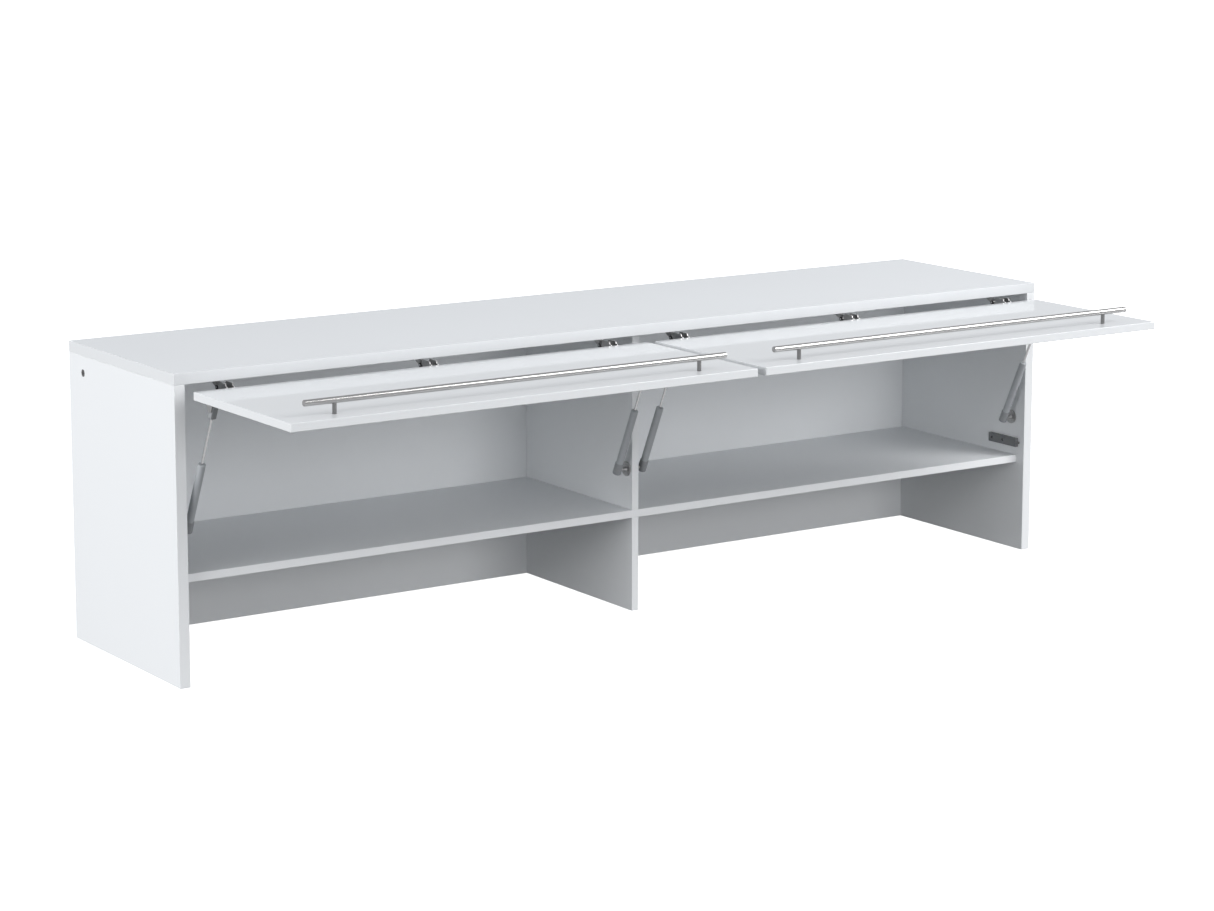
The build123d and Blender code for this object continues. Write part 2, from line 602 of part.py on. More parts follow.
# The cheek's outline from the cup pivot. Its front stays outside the circle that the flap's
# rear corner sweeps about that pivot, and its top stays under the mounting plate when shut.
CHEEK_OUTLINE = (
    (26.8, -12.0),
    (28.4, 0.0),
    (27.4, 8.0),
    (26.2, 10.9),
    (26.8, 12.0),
    (32.0, 13.5),
    (33.0, 17.0),
    (34.5, 18.5),
    (58.0, 18.5),
    (61.5, 15.0),
    (59.0, 2.0),
    (42.0, -25.0),
    (35.0, -25.0),
)
cheek = [(CUP_PIVOT[0] + dy, CUP_PIVOT[1] + dz) for dy, dz in CHEEK_OUTLINE]
FLANGE_RADIUS = CUP_RADIUS + 1.0
FLANGE_WING = 12.0
ear_top = OPEN_INNER_Z + CUP_DEPTH - CUP_WALL / 2

for name, sign in SIDES:
    with BuildPart() as links:
        for x in hinges[name]:
            with BuildSketch(Plane.YZ.offset(x - LINK_OUT)):
                with Locations(link_place):
                    SlotCenterToCenter(LINK_LENGTH, LINK_WIDTH)
            extrude(amount=2 * LINK_OUT)
            for point, reach in ((BASE_PIVOT, PIN_RADIUS + PIN_PLAY), (LINK_PIVOT, PIN_RADIUS)):
                with Locations(facing((x, point[0], point[1]), (1, 0, 0))):
                    Cylinder(reach, 3 * LINK_OUT, mode=Mode.SUBTRACT)
            with Locations(facing((x, BASE_PIVOT[0], BASE_PIVOT[1]), (1, 0, 0))):
                Cylinder(LINK_FORK_RADIUS, 2 * LINK_IN, mode=Mode.SUBTRACT)
    save(links, f"{name}_hinge_links")

    with BuildPart() as link_pins:
        for x in hinges[name]:
            with Locations(facing((x, LINK_PIVOT[0], LINK_PIVOT[1]), (1, 0, 0))):
                Cylinder(PIN_RADIUS, 2 * (CARRIAGE_OUT + 0.3))
    save(link_pins, f"{name}_hinge_link_pins")

    with BuildPart() as carriages:
        for x in hinges[name]:
            for low in (x - CARRIAGE_OUT, x + CARRIAGE_IN):
                with BuildSketch(Plane.YZ.offset(low)):
                    with Locations(carriage_place):
                        SlotCenterToCenter(CARRIAGE_LENGTH, BAR_WIDTH)
                        with Locations((WEB_CENTRE, -WEB_DROP)):
                            Rectangle(WEB_LENGTH, WEB_WIDTH)
                    with BuildLine():
                        Polyline(*cheek, close=True)
                    make_face()
                    yz_round(LINK_PIVOT, BAR_HEAD)
                extrude(amount=CARRIAGE_OUT - CARRIAGE_IN)
            with BuildSketch(Plane.YZ.offset(x - CARRIAGE_OUT)):
                with Locations(carriage_place):
                    with Locations((WEB_CENTRE, -WEB_DROP - (WEB_WIDTH - WEB_THICK) / 2)):
                        Rectangle(WEB_LENGTH, WEB_THICK)
            extrude(amount=2 * CARRIAGE_OUT)
            for point in (LINK_PIVOT, CUP_PIVOT):
                with Locations(facing((x, point[0], point[1]), (1, 0, 0))):
                    Cylinder(PIN_RADIUS + PIN_PLAY, 3 * CARRIAGE_OUT, mode=Mode.SUBTRACT)
    save(carriages, f"{name}_hinge_carriages")

    with BuildPart() as cups:
        cup_y = OPEN_EDGE - CUP_FROM_EDGE
        for x in hinges[name]:
            with BuildSketch(Plane.XY.offset(OPEN_INNER_Z)):
                with Locations((x, cup_y)):
                    Circle(FLANGE_RADIUS)
                with Locations((x, OPEN_EDGE - CUP_SCREW_FROM_EDGE)):
                    SlotCenterToCenter(2 * CUP_SCREW_X, FLANGE_WING)
            extrude(amount=-FLANGE)
            with Locations((x, cup_y, OPEN_INNER_Z)):
                Cylinder(CUP_RADIUS, CUP_DEPTH, align=STANDING)
            with Locations((x, cup_y, OPEN_INNER_Z + CUP_DEPTH - CUP_WALL)):
                Cylinder(CUP_RADIUS - CUP_WALL, 2 * CUP_DEPTH, align=SUNK, mode=Mode.SUBTRACT)
            for side in (-1, 1):
                inner_x, outer_x = sorted((side * EAR_IN, side * EAR_OUT))
                with BuildSketch(Plane.YZ.offset(x + inner_x)):
                    yz_round(CUP_PIVOT, BAR_WIDTH / 2)
                    with Locations((CUP_PIVOT[0], (CUP_PIVOT[1] + ear_top) / 2)):
                        Rectangle(BAR_WIDTH, ear_top - CUP_PIVOT[1])
                extrude(amount=EAR_OUT - EAR_IN)
                with Locations(facing((x + side * CARRIAGE_IN, CUP_PIVOT[0], CUP_PIVOT[1]), (side, 0, 0))):
                    Cylinder(PIN_RADIUS, EAR_IN - CARRIAGE_IN + 1, align=STANDING)
        for point in cup_screw_points(name):
            with Locations(facing(point, (0, 0, -1))):
                Cylinder(CUP_SCREW_RADIUS, FLANGE, align=SUNK, mode=Mode.SUBTRACT)
    save(cups, f"{name}_hinge_cups")
    group(f"{name}_hinge_cup_screws", screw(*CUP_SCREW_HEAD, CUP_SCREW_RADIUS, CUP_SCREW_LENGTH),
          [facing(point, (0, 0, -1)) for point in cup_screw_points(name)])

# ---------------------------------------------------------------- gas struts
strut_dir = Vector(0, STRUT_HEAD[0] - STRUT_FOOT[0], STRUT_HEAD[1] - STRUT_FOOT[1]).normalized()
SOCKET = (12.0, 13.0, 27.0)
SOCKET_DROP = 6.5  # the socket's middle, below its ball
CAP_RADIUS = 8.8
CAP_FLAT = 7.9  # the flat that faces the panel, from the strut's axis
CAP_BELOW = 9.0
CAP_LENGTH = 26.0
CAP_ROUND = 1.6
GROOVE = (TUBE_RADIUS + 0.6, 1.2)  # rolled round the tube, over its inner guide
GROOVE_DROP = 11.0
TUBE_END = 3.0  # the tube's closed foot
TUBE_GUIDE = 10.0  # the guide and seal in the tube's mouth
PISTON_HEIGHT = 6.0
ROD_TOP_GAP = 8.0  # from the rod's end to the ball's centre
SOCKET_BORE_GAP = 20.0
SOCKET_BORE = 12.0
SOCKET_ROUND = 1.8
BALL_PIN_RADIUS = 2.2
BALL_PIN_HOLE = 3.2
ARM_THICK = 2.0
ARM_OFFSET = 10.0  # from the strut's axis to the arm's outer face
ARM_HEAD = 6.0
ARM_ROOT = 12.0


def on_strut(x, distance):
    """A plane on the strut's axis, distance mm up from its foot, with +Z along the strut."""
    return Plane(origin=(x, STRUT_FOOT[0] + strut_dir.Y * distance, STRUT_FOOT[1] + strut_dir.Z * distance),
                 x_dir=(1, 0, 0), z_dir=strut_dir)


for name, sign in SIDES:
    for place, (x, out) in struts[name].items():
        tag = f"{name}_{place}"
        with BuildPart() as tube:
            with Locations(on_strut(x, TUBE_FROM)):
                Cylinder(TUBE_RADIUS, TUBE_TO - TUBE_FROM, align=STANDING)
            fillet(tube.edges().filter_by(GeomType.CIRCLE), 1.0)
            with Locations(on_strut(x, TUBE_TO - GROOVE_DROP)):
                Torus(*GROOVE, mode=Mode.SUBTRACT)
            with Locations(on_strut(x, TUBE_FROM + TUBE_END)):
                Cylinder(TUBE_BORE, TUBE_TO - TUBE_FROM - TUBE_END - TUBE_GUIDE, align=STANDING,
                         mode=Mode.SUBTRACT)
            with Locations(on_strut(x, TUBE_FROM)):
                Cylinder(ROD_RADIUS + FIT_PLAY, TUBE_TO, align=STANDING, mode=Mode.SUBTRACT)
                Cylinder(ROD_RADIUS + 1, TUBE_END, align=STANDING)
        save(tube, f"{tag}_strut_tube")

        with BuildPart() as rod:
            with Locations(on_strut(x, TUBE_TO - ROD_ENGAGED)):
                Cylinder(ROD_RADIUS, OPEN_LENGTH - (TUBE_TO - ROD_ENGAGED) - ROD_TOP_GAP, align=STANDING)
                Cylinder(TUBE_BORE - FIT_PLAY, PISTON_HEIGHT, align=STANDING)
        save(rod, f"{tag}_strut_rod")

        with BuildPart() as cap:
            with Locations(on_strut(x, -CAP_BELOW)):
                Cylinder(CAP_RADIUS, CAP_LENGTH, align=STANDING)
            fillet(cap.edges().filter_by(GeomType.CIRCLE), CAP_ROUND)
            with Locations(on_strut(x, TUBE_FROM)):
                Cylinder(TUBE_RADIUS, CAP_LENGTH, align=STANDING, mode=Mode.SUBTRACT)
            with Locations(on_strut(x, 0)):
                with Locations((-out * (CAP_FLAT + 10), 0, 0)):
                    Box(20, 40, 60, mode=Mode.SUBTRACT)
        save(cap, f"{tag}_strut_cap")

        with BuildPart() as socket:
            with Locations(on_strut(x, OPEN_LENGTH - SOCKET_DROP)):
                Box(*SOCKET)
            fillet(socket.edges(), SOCKET_ROUND)
            with Locations(on_strut(x, OPEN_LENGTH - SOCKET_BORE_GAP)):
                Cylinder(ROD_RADIUS, SOCKET_BORE, align=STANDING, mode=Mode.SUBTRACT)
            with Locations((x, STRUT_HEAD[0], STRUT_HEAD[1])):
                Sphere(BALL_RADIUS + FIT_PLAY, rotation=(0, 90, 0), mode=Mode.SUBTRACT)
            with Locations(facing((x - out * 2.0, STRUT_HEAD[0], STRUT_HEAD[1]), (-out, 0, 0))):
                Cylinder(BALL_PIN_HOLE, SOCKET[0], align=STANDING, mode=Mode.SUBTRACT)
        save(socket, f"{tag}_strut_socket")

    with BuildPart() as brackets:
        for x, out in struts[name].values():
            leg_x = x - out * ARM_OFFSET
            low_x, high_x = sorted((leg_x, leg_x + out * BRACKET_PLATE[0]))
            block((low_x, STRUT_HEAD[0] - BRACKET_PLATE[1] / 2, OPEN_INNER_Z - BRACKET_PLATE[2]),
                  (high_x, STRUT_HEAD[0] + BRACKET_PLATE[1] / 2, OPEN_INNER_Z))
            low_x, high_x = sorted((leg_x, leg_x + out * ARM_THICK))
            with BuildSketch(Plane.YZ.offset(low_x)):
                yz_round(STRUT_HEAD, ARM_HEAD)
                with BuildLine():
                    Polyline(
                        (STRUT_HEAD[0] - ARM_HEAD, STRUT_HEAD[1]),
                        (STRUT_HEAD[0] + ARM_HEAD, STRUT_HEAD[1]),
                        (STRUT_HEAD[0] + ARM_ROOT, OPEN_INNER_Z - 1),
                        (STRUT_HEAD[0] - ARM_ROOT, OPEN_INNER_Z - 1),
                        close=True,
                    )
                make_face()
            extrude(amount=ARM_THICK)
            with Locations((x, STRUT_HEAD[0], STRUT_HEAD[1])):
                Sphere(BALL_RADIUS, rotation=(0, 90, 0))
            with Locations(facing((leg_x, STRUT_HEAD[0], STRUT_HEAD[1]), (out, 0, 0))):
                Cylinder(BALL_PIN_RADIUS, ARM_OFFSET - 2, align=STANDING)
        for point in bracket_screw_points(name):
            with Locations(facing(point, (0, 0, -1))):
                Cylinder(BRACKET_SCREW_RADIUS, BRACKET_PLATE[2], align=SUNK, mode=Mode.SUBTRACT)
    save(brackets, f"{name}_flap_brackets")
    bracket_screw = screw(*BRACKET_SCREW_HEAD, BRACKET_SCREW_RADIUS, BRACKET_SCREW_LENGTH)
    group(f"{name}_flap_bracket_screws", bracket_screw,
          [facing(point, (0, 0, -1)) for point in bracket_screw_points(name)])

strut_feet = [(sign * SIDE_IN, -sign) for name, sign in SIDES]
strut_feet += [(sign * DIVIDER_HALF, sign) for name, sign in SIDES]
STUD_LENGTH = STRUT_SIDE_OFFSET - CAP_FLAT - OPEN_PIVOT_GAP
with BuildPart() as studs:
    for x, out in strut_feet:
        with Locations(facing((x, STRUT_FOOT[0], STRUT_FOOT[1]), (out, 0, 0))):
            Cylinder(STUD_PLATE_RADIUS, STUD_PLATE_THICK, align=STANDING)
            Cylinder(STUD_RADIUS, STUD_LENGTH, align=STANDING)
            with Locations((0, 0, STUD_PLATE_THICK)):
                Cone(STUD_COLLAR[0], STUD_RADIUS, STUD_COLLAR[1], align=STANDING)
        for plane in foot_screw_planes(x, out):
            with Locations(plane):
                Cylinder(FOOT_SCREW_RADIUS, STUD_PLATE_THICK, align=SUNK, mode=Mode.SUBTRACT)
save(studs, "strut_foot_studs")
group("strut_foot_screws", screw(*FOOT_SCREW_HEAD, FOOT_SCREW_RADIUS, FOOT_SCREW_LENGTH),
      [plane for x, out in strut_feet for plane in foot_screw_planes(x, out)])

# ---------------------------------------------------------------- closing dampers
with BuildPart() as housings:
    for name, sign in SIDES:
        x = sign * (SIDE_IN - DAMPER[0] / 2)
        with Locations((x, DAMPER_FRONT + DAMPER[1] / 2, DAMPER_Z)):
            Box(*DAMPER)
    fillet(housings.edges(), 1.2)
    for name, sign in SIDES:
        x = sign * (SIDE_IN - DAMPER[0] / 2)
        with Locations(facing((x, DAMPER_FRONT, DAMPER_Z), (0, -1, 0))):
            Cylinder(PISTON_RADIUS + FIT_PLAY, PISTON_LENGTH + PISTON_TRAVEL, align=SUNK,
                     mode=Mode.SUBTRACT)
        for y in damper_screw_ys:
            with Locations(facing((sign * (SIDE_IN - DAMPER_SEAT), y, DAMPER_Z), (-sign, 0, 0))):
                Cylinder(DAMPER_SCREW_RADIUS, DAMPER_SEAT, align=SUNK, mode=Mode.SUBTRACT)
                Cylinder(DAMPER_WELL_RADIUS, DAMPER[0], align=STANDING, mode=Mode.SUBTRACT)
save(housings, "damper_housings")
group("damper_screws", screw(*DAMPER_SCREW_HEAD, DAMPER_SCREW_RADIUS, DAMPER_SCREW_LENGTH),
      [facing((sign * (SIDE_IN - DAMPER_SEAT), y, DAMPER_Z), (-sign, 0, 0))
       for name, sign in SIDES for y in damper_screw_ys])

for name, sign in SIDES:
    with BuildPart() as piston:
        with Locations(facing((sign * (SIDE_IN - DAMPER[0] / 2), PISTON_TIP, DAMPER_Z), (0, -1, 0))):
            Cylinder(PISTON_RADIUS, PISTON_LENGTH, align=SUNK)
        fillet(piston.edges().filter_by(GeomType.CIRCLE), 0.6)
    save(piston, f"{name}_damper_piston")
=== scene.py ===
# %% [markdown]
# # A wall cabinet with two lift-up flaps
# This lesson dresses a cabinet that hangs over a folding bed. The boards, hinges and gas
# struts arrive as a finished frame of named nodes, each riding on a moving body. Nothing is
# moved here: the work is in the finishes, in the small turned and pressed pieces that deserve
# more detail than a plain solid, and in a studio that shows white on white.

# %% Load the frame
import math

import bmesh
import bpy
from mathutils import Matrix, Vector


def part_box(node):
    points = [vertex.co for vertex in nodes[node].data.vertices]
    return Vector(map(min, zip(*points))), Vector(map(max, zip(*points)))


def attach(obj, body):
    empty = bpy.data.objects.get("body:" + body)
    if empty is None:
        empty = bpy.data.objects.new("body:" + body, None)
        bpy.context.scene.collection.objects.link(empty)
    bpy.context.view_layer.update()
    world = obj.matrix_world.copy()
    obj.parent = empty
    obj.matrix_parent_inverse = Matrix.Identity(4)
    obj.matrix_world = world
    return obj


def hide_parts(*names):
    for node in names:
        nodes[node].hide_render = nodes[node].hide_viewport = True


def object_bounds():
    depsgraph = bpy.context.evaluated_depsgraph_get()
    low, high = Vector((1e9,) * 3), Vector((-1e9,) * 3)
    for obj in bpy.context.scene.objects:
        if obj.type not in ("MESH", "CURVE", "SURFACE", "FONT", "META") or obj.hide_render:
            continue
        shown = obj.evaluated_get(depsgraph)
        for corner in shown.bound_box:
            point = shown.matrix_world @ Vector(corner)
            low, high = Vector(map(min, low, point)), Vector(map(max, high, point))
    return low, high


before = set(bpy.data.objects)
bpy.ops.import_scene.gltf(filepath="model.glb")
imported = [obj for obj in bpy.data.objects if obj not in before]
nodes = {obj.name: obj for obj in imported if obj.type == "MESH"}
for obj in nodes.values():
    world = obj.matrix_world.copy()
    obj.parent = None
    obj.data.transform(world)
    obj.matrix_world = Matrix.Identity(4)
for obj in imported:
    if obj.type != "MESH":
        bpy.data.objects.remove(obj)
cad_low, cad_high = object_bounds()
MM = 0.001
SIDES = ("left", "right")
print("nodes:", len(nodes), "size in m:", [round(v, 3) for v in cad_high - cad_low])

# %% [markdown]
# ## Writing a material as sums
# A procedural finish is mostly arithmetic: a distance here, a noise there, a threshold
# between them. Wiring Math nodes by hand hides the sum in a tangle, so `Value` wraps one
# socket and lets Python's own operators add the nodes. The reflected forms matter too:
# without them `mask * 2` would work and `2 * mask` would not.

# %% A socket that does arithmetic
class Value:
    def __init__(self, tree, socket):
        self.tree = tree
        self.socket = socket

    def math(self, operation, *others, clamp=False):
        node = self.tree.nodes.new("ShaderNodeMath")
        node.operation = operation
        node.use_clamp = clamp
        for slot, value in zip(node.inputs, (self, *others)):
            feed(self.tree, slot, value)
        return Value(self.tree, node.outputs[0])

    def __add__(self, other):
        return self.math("ADD", other)

    def __sub__(self, other):
        return self.math("SUBTRACT", other)

    def __mul__(self, other):
        return self.math("MULTIPLY", other)

    def __truediv__(self, other):
        return self.math("DIVIDE", other)

    def __rsub__(self, other):
        return (self * -1.0).math("ADD", other)

    def __rtruediv__(self, other):
        return self.math("POWER", -1.0).math("MULTIPLY", other)

    __radd__ = __add__
    __rmul__ = __mul__

    def __abs__(self):
        return self.math("ABSOLUTE")

    def below(self, limit, soft):
        """1 where the value is under limit, 0 above it, with a soft step between."""
        return ((self * -1.0 + limit) / soft + 0.5).math("ADD", 0.0, clamp=True)

    def least(self, other):
        return self.math("MINIMUM", other)


def feed(tree, socket, value):
    """Link a Value into a socket, or set the socket to a number, colour or vector."""
    if isinstance(value, Value):
        tree.links.new(value.socket, socket)
    else:
        socket.default_value = value


# %% [markdown]
# ## One finish at a time
# `Finish` holds a material while it is made. `node` adds any node from its type, its settings
# and its inputs; `surface` sets the shader's own sockets. Object coordinates are in metres,
# so a pattern's scale is simply how many of its features fit in a metre.

# %% A material under construction
class Finish:
    def __init__(self, name):
        self.material = bpy.data.materials.new(name)
        self.material.use_nodes = True
        self.tree = self.material.node_tree
        self.shader = self.tree.nodes["Principled BSDF"]

    def node(self, kind, settings=None, inputs=None, output=0):
        made = self.tree.nodes.new(kind)
        for key, value in (settings or {}).items():
            setattr(made, key, value)
        for key, value in (inputs or {}).items():
            feed(self.tree, made.inputs[key], value)
        return Value(self.tree, made.outputs[output])

    def place(self):
        return self.node("ShaderNodeTexCoord", output="Object")

    def axes(self):
        parts = self.tree.nodes.new("ShaderNodeSeparateXYZ")
        feed(self.tree, parts.inputs[0], self.place())
        return [Value(self.tree, parts.outputs[i]) for i in range(3)]

    def noise(self, per_metre, detail=2.0, stretch=(1, 1, 1)):
        """Noise from 0 to 1, with that many features in a metre, drawn out by stretch."""
        scaled = self.node("ShaderNodeMapping", {"vector_type": "POINT"},
                           {"Vector": self.place(), "Scale": tuple(per_metre / s for s in stretch)})
        return self.node("ShaderNodeTexNoise", {"noise_dimensions": "3D"},
                         {"Vector": scaled, "Scale": 1.0, "Detail": detail, "Roughness": 0.55})

    def blend(self, mask, colour_a, colour_b):
        """colour_a where mask is 0, colour_b where it is 1."""
        # a Mix node has sockets for each kind of data: 6, 7 and output 2 are the colours
        mix = self.tree.nodes.new("ShaderNodeMix")
        mix.data_type = "RGBA"
        feed(self.tree, mix.inputs[0], mask)
        feed(self.tree, mix.inputs[6], colour_a)
        feed(self.tree, mix.inputs[7], colour_b)
        return Value(self.tree, mix.outputs[2])

    def relief(self, height, depth, strength):
        """A normal from a height of 0 to 1, which stands for depth in metres."""
        return self.node("ShaderNodeBump", None,
                         {"Height": height, "Distance": depth, "Strength": strength})

    def surface(self, **sockets):
        for key, value in sockets.items():
            feed(self.tree, self.shader.inputs[key.replace("_", " ")], value)
        return self.material


def grey(level, warmth=0.0):
    """A near-neutral colour; warmth above 0 leans to yellow, below 0 to blue."""
    return (level * (1 + warmth), level, level * (1 - warmth), 1.0)


def paint(material, *names):
    """Put a material on every slot of the named nodes."""
    for name in names:
        for index in range(len(nodes[name].data.materials)):
            nodes[name].data.materials[index] = material
        if not nodes[name].data.materials:
            nodes[name].data.materials.append(material)


# %% [markdown]
# ## Laminated boards
# The carcass is chipboard with a satin white laminate on its faces and a plastic band glued
# round its edges. Close up, the laminate has a very fine pressed grain, and a hairline shows
# where the band meets the face. That line follows each board's own outline, so each board
# gets its own material: the distance to the nearest edge comes from the node's box, with the
# board's thickness left out of the sum.

# %% The outline of a board, in shader sums
EDGE_BAND = 0.8 * MM
GLUE_LINE = 0.09 * MM
GLUE_BLUR = 0.06 * MM


def rim_distance(finish, node):
    """How far a point is from the nearest edge of its board, in the plane of the board."""
    low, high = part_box(node)
    thickness = min(range(3), key=lambda i: high[i] - low[i])
    place = finish.axes()
    gaps = [(high[i] - low[i]) / 2 - abs(place[i] - (high[i] + low[i]) / 2)
            for i in range(3) if i != thickness]
    return gaps[0].least(gaps[1])


# %% Satin laminate and its edge band
LAMINATE = grey(0.80, -0.022)
LAMINATE_SHADE = grey(0.785, -0.022)
BAND = grey(0.82, -0.018)
# The top panel's edge band tone is darker than the other bands: painted shade on the top's front edge, not
# a band of another colour.
TOP_BAND_PAINTED_SHADE = grey(0.70, -0.022)
GLUE = grey(0.50, 0.0)


def satin_board(node, band_tone=BAND):
    finish = Finish(f"satin laminate of {node}")
    rim = rim_distance(finish, node)
    band = rim.below(EDGE_BAND, 0.02 * MM)
    glue = abs(rim - EDGE_BAND).below(GLUE_LINE, GLUE_BLUR)
    drift = finish.noise(2.2, 3.0)
    grain = finish.noise(1500.0, 2.0)
    tone = finish.blend(drift, LAMINATE_SHADE, LAMINATE)
    tone = finish.blend(band, tone, band_tone)
    tone = finish.blend(glue * 0.55, tone, GLUE)
    rough = 0.40 + drift * 0.05 + grain * 0.05 - band * 0.05
    return finish.surface(
        Base_Color=tone, Roughness=rough, Normal=finish.relief(grain - glue, 0.02 * MM, 0.35)
    )


CARCASS = ("top_panel", "left_side_panel", "right_side_panel", "back_panel", "shelf",
           "upper_divider", "lower_divider")
for board_name in CARCASS:
    # the top panel gets the darker band tone, which is painted shade on its front edge
    paint(satin_board(board_name, TOP_BAND_PAINTED_SHADE if board_name == "top_panel" else BAND), board_name)
print("satin boards:", len(CARCASS))

# %% [markdown]
# ## High-gloss flaps
# The flaps are the same board under a clear acrylic face. What makes gloss read as gloss is
# what it mirrors, so the base stays smooth and the only relief is the faint, wide ripple that
# a pressed sheet always keeps. The inner face is gloss as well.

# %% Gloss acrylic
GLOSS_EDGE = 1.3 * MM
GLOSS_BAND = grey(0.73, -0.022)


def gloss_board(node):
    finish = Finish(f"gloss acrylic of {node}")
    rim = rim_distance(finish, node)
    band = rim.below(GLOSS_EDGE, 0.04 * MM)
    glue = abs(rim - GLOSS_EDGE).below(GLUE_LINE, GLUE_BLUR)
    ripple = finish.noise(34.0, 1.0)
    drift = finish.noise(3.0, 2.0)
    tone = finish.blend(drift, LAMINATE_SHADE, LAMINATE)
    tone = finish.blend(band, tone, GLOSS_BAND)
    tone = finish.blend(glue * 0.4, tone, GLUE)
    return finish.surface(
        Base_Color=tone,
        Roughness=0.045 + drift * 0.03,
        Normal=finish.relief(ripple - glue * 0.3, 0.02 * MM, 0.10),
        IOR=1.5,
        Specular_IOR_Level=0.62,
    )


for side in SIDES:
    paint(gloss_board(f"{side}_flap"), f"{side}_flap")
print("gloss flaps:", len(SIDES))

# %% [markdown]
# ## Metals
# The handle bars are drawn tube, brushed along their length, so their noise is stretched
# along X until it turns into fine lines. All the other metals share one recipe, a soft cloud
# in the tone and a fine one in the relief, and differ in how dark and how rough they are: the
# nickelled hinges and plates, the blackened hinge links, the turned handle posts, the zinc
# screws and the die-cast cams. Rods and pins are ground, which makes them almost mirrors.

# %% Brushed bar
def brushed_bar():
    finish = Finish("brushed handle tube")
    lines = finish.noise(2600.0, 3.0, stretch=(70, 1, 1))
    wide = finish.noise(260.0, 2.0, stretch=(30, 1, 1))
    tone = finish.blend(lines, grey(0.34, 0.02), grey(0.54, 0.015))
    return finish.surface(
        Base_Color=tone, Metallic=1.0, Roughness=0.15 + lines * 0.12 + wide * 0.05,
        Normal=finish.relief(lines, 0.012 * MM, 0.35),
    )


bar_finish = brushed_bar()
paint(bar_finish, *[f"{side}_handle_bar" for side in SIDES])


# %% Plated, blackened, turned and ground metal
def clouded_metal(name, dark, light, rough, per_metre, depth):
    finish = Finish(name)
    cloud = finish.noise(per_metre, 3.0)
    fine = finish.noise(per_metre * 9, 2.0)
    return finish.surface(
        Base_Color=finish.blend(cloud, grey(dark, 0.012), grey(light, 0.008)), Metallic=1.0,
        Roughness=rough + cloud * 0.10 + fine * 0.05, Normal=finish.relief(fine, depth, 0.3),
    )


nickel = clouded_metal("nickelled pressing", 0.40, 0.54, 0.24, 160.0, 0.01 * MM)
gunmetal = clouded_metal("blackened pressing", 0.07, 0.12, 0.30, 160.0, 0.01 * MM)
ground = clouded_metal("ground steel", 0.58, 0.68, 0.14, 420.0, 0.004 * MM)
turned = clouded_metal("turned handle post", 0.24, 0.32, 0.30, 420.0, 0.004 * MM)
zinc = clouded_metal("bright zinc plating", 0.50, 0.66, 0.22, 300.0, 0.01 * MM)
die_cast = clouded_metal("grey die casting", 0.20, 0.27, 0.42, 900.0, 0.03 * MM)


def each_side(*pieces):
    """The names of a piece on the left and on the right."""
    return [f"{side}_{piece}" for side in SIDES for piece in pieces]


paint(nickel, "hinge_mounting_plates", "strut_foot_studs",
      *each_side("hinge_carriages", "hinge_cups", "flap_brackets"))
paint(gunmetal, *each_side("hinge_links"))
paint(turned, *each_side("handle_posts"))
paint(ground, "hinge_base_pins", *each_side("hinge_link_pins", "outer_strut_rod", "inner_strut_rod"))
paint(zinc, "cam_bolts", "hanger_plates")
paint(die_cast, "cam_discs")
print("metals:", [metal.name for metal in (bar_finish, nickel, gunmetal, ground, turned, zinc, die_cast)])

# %% [markdown]
# ## Grey paint and moulded plastic
# The strut tubes are powder coated in mid grey, with the slight orange peel of baked paint.
# Their end fittings and the closing dampers are moulded: a spark-eroded grain, darker and
# duller than the paint. The dowels are plain beech, with a grain drawn out along Z.

# %% Powder coat and moulded grain
def coated(name, level, rough, per_metre, depth, warmth=-0.02):
    finish = Finish(name)
    peel = finish.noise(per_metre, 2.0)
    cloud = finish.noise(per_metre / 14, 2.0)
    return finish.surface(
        Base_Color=finish.blend(cloud, grey(level * 0.93, warmth), grey(level * 1.05, warmth)),
        Roughness=rough + peel * 0.10, Normal=finish.relief(peel, depth, 0.5),
    )


tube_paint = coated("grey powder coat", 0.42, 0.34, 700.0, 0.02 * MM, -0.05)
moulded = coated("moulded grey plastic", 0.30, 0.50, 2200.0, 0.02 * MM, -0.04)
damper_plastic = coated("moulded dark plastic", 0.17, 0.42, 2600.0, 0.015 * MM, -0.03)
for side in SIDES:
    for place in ("outer", "inner"):
        paint(tube_paint, f"{side}_{place}_strut_tube")
        paint(moulded, f"{side}_{place}_strut_cap", f"{side}_{place}_strut_socket")
    paint(damper_plastic, f"{side}_damper_piston")
paint(damper_plastic, "damper_housings")


# %% Beech
def beech():
    finish = Finish("beech dowel")
    rings = finish.noise(500.0, 3.0, stretch=(1, 1, 12))
    return finish.surface(
        Base_Color=finish.blend(rings, (0.50, 0.31, 0.16, 1.0), (0.66, 0.45, 0.26, 1.0)),
        Roughness=0.62 + rings * 0.1, Normal=finish.relief(rings, 0.05 * MM, 0.5),
    )


paint(beech(), "dowels")
print("coats:", [coat.name for coat in (tube_paint, moulded, damper_plastic)])

# %% [markdown]
# ## Sixty-odd screws from one recipe
# Every fitting is held by pan-head screws with a cross recess: a domed head, a thread that
# winds down the shank and a short point. They repeat in eleven groups and eight sizes, which
# is what Geometry Nodes are good at. One tree makes a single screw from its sizes, sets it on
# points that know which way is out, and makes real geometry of them. The places and the sizes
# are read off the plain screws of the frame, so nothing is typed twice. Modelling the recess
# by hand on each screw would look the same and take an afternoon.

# %% Reading the plain screws
WELD_GAP = 0.001 * MM
SEAT_TOLERANCE = 0.01 * MM
RIM_SHARE = 0.99  # corners this far out, as a share of the widest, are on the head's rim


